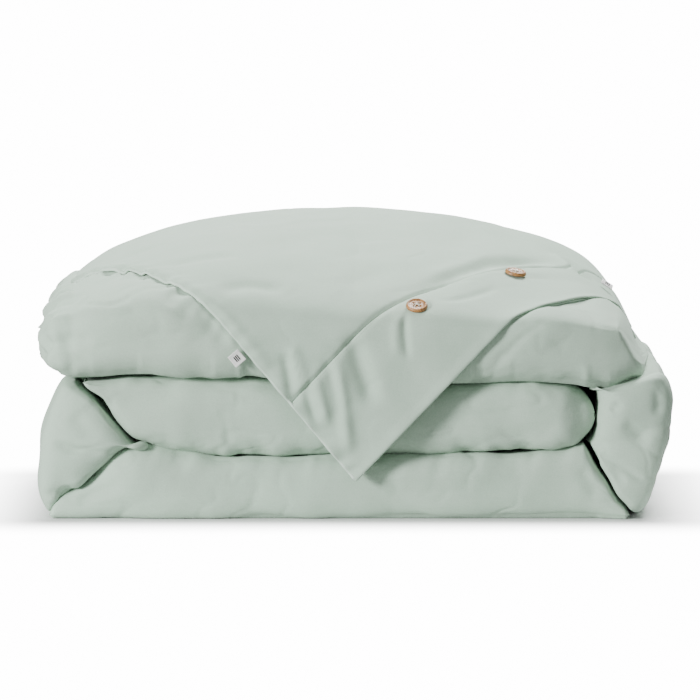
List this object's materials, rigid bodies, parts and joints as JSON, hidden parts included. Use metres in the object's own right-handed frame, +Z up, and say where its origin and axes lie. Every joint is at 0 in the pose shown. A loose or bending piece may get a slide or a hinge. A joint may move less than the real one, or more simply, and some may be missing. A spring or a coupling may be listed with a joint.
{
  "type": "folded duvet in a buttoned cover",
  "caption": "Folded duvet in a sage green buttoned cotton cover, its open end laid over the top with one corner hanging.",
  "frame": {"origin": "on the floor, under the middle of the object's box", "axes": "+X right along the folded width, +Y towards the back, +Z up; the hanging corner faces -Y"},
  "size_m": [0.58, 0.461, 0.2704],
  "materials": {
    "cotton": "matte percale weave",
    "casing": "matte",
    "filling": "matte",
    "wood": "satin coconut shell",
    "yarn": "matte",
    "tape": "woven tape"
  },
  "bodies": {
    "stack": {"cover_bottom_layer": "cotton", "cover_left_turn": "cotton", "cover_middle_layer": "cotton", "cover_right_turn_lower": "cotton", "casing_bottom_layer": "casing", "casing_left_turn": "casing", "casing_middle_layer": "casing", "casing_right_turn_lower": "casing", "filling_bottom_layer": "filling", "filling_left_turn": "filling", "filling_middle_layer": "filling", "filling_right_turn_lower": "filling", "corner_tie_tucked_front": "tape", "corner_tie_tucked_back": "tape"},
    "top_fold": {"cover_right_turn_upper": "cotton", "cover_top_layer": "cotton", "casing_right_turn_upper": "casing", "casing_top_layer": "casing", "filling_right_turn_upper": "filling", "filling_top_layer": "filling", "mouth_outer_panel": "cotton", "mouth_inner_panel": "cotton", "buttonhole_band_upper": "cotton", "button_band_upper": "cotton", "side_seam_upper": "cotton", "corner_tie_top_front": "tape", "corner_tie_top_back": "tape"},
    "hanging_corner": {"flap_outer_panel": "cotton", "flap_inner_panel": "cotton", "buttonhole_band_flap": "cotton", "button_band_flap": "cotton", "side_seam_flap": "cotton"},
    "first_button": {"button_1": "wood", "button_thread_1": "yarn"},
    "second_button": {"button_2": "wood", "button_thread_2": "yarn"},
    "side_label": {"woven_label": "tape"},
    "band_label": {"care_label": "tape"}
  },
  "joints": [
    {"name": "top_fold_opens", "type": "hinge", "parent": "stack", "child": "top_fold", "pos_m": [0.2905, 0, 0.13], "axis": [0, 1, 0], "range_deg": [0, 150]},
    {"name": "corner_lifts", "type": "hinge", "parent": "top_fold", "child": "hanging_corner", "pos_m": [0, -0.2305, 0.1775], "axis": [-1, 0, 0], "range_deg": [0, 120]},
    {"name": "first_button_turns", "type": "hinge", "parent": "top_fold", "child": "first_button", "pos_m": [0.0556, -0.21429, 0.1948], "axis": [0.0283, -0.5153, 0.8566], "range_deg": [-40, 40], "stiffness_Nm_per_rad": 0.002},
    {"name": "second_button_turns", "type": "hinge", "parent": "top_fold", "child": "second_button", "pos_m": [0.148, -0.11916, 0.21891], "axis": [0.1709, -0.2152, 0.9615], "range_deg": [-40, 40], "stiffness_Nm_per_rad": 0.002},
    {"name": "side_label_folds", "type": "hinge", "parent": "hanging_corner", "child": "side_label", "pos_m": [-0.10443, -0.2281, 0.15365], "axis": [-0.6435, 0, 0.7655], "range_deg": [-90, 0], "stiffness_Nm_per_rad": 0.002},
    {"name": "band_label_folds", "type": "hinge", "parent": "top_fold", "child": "band_label", "pos_m": [0.22885, -0.04608, 0.2064], "axis": [0, -0.9963, -0.0858], "range_deg": [0, 60], "stiffness_Nm_per_rad": 0.002}
  ]
}
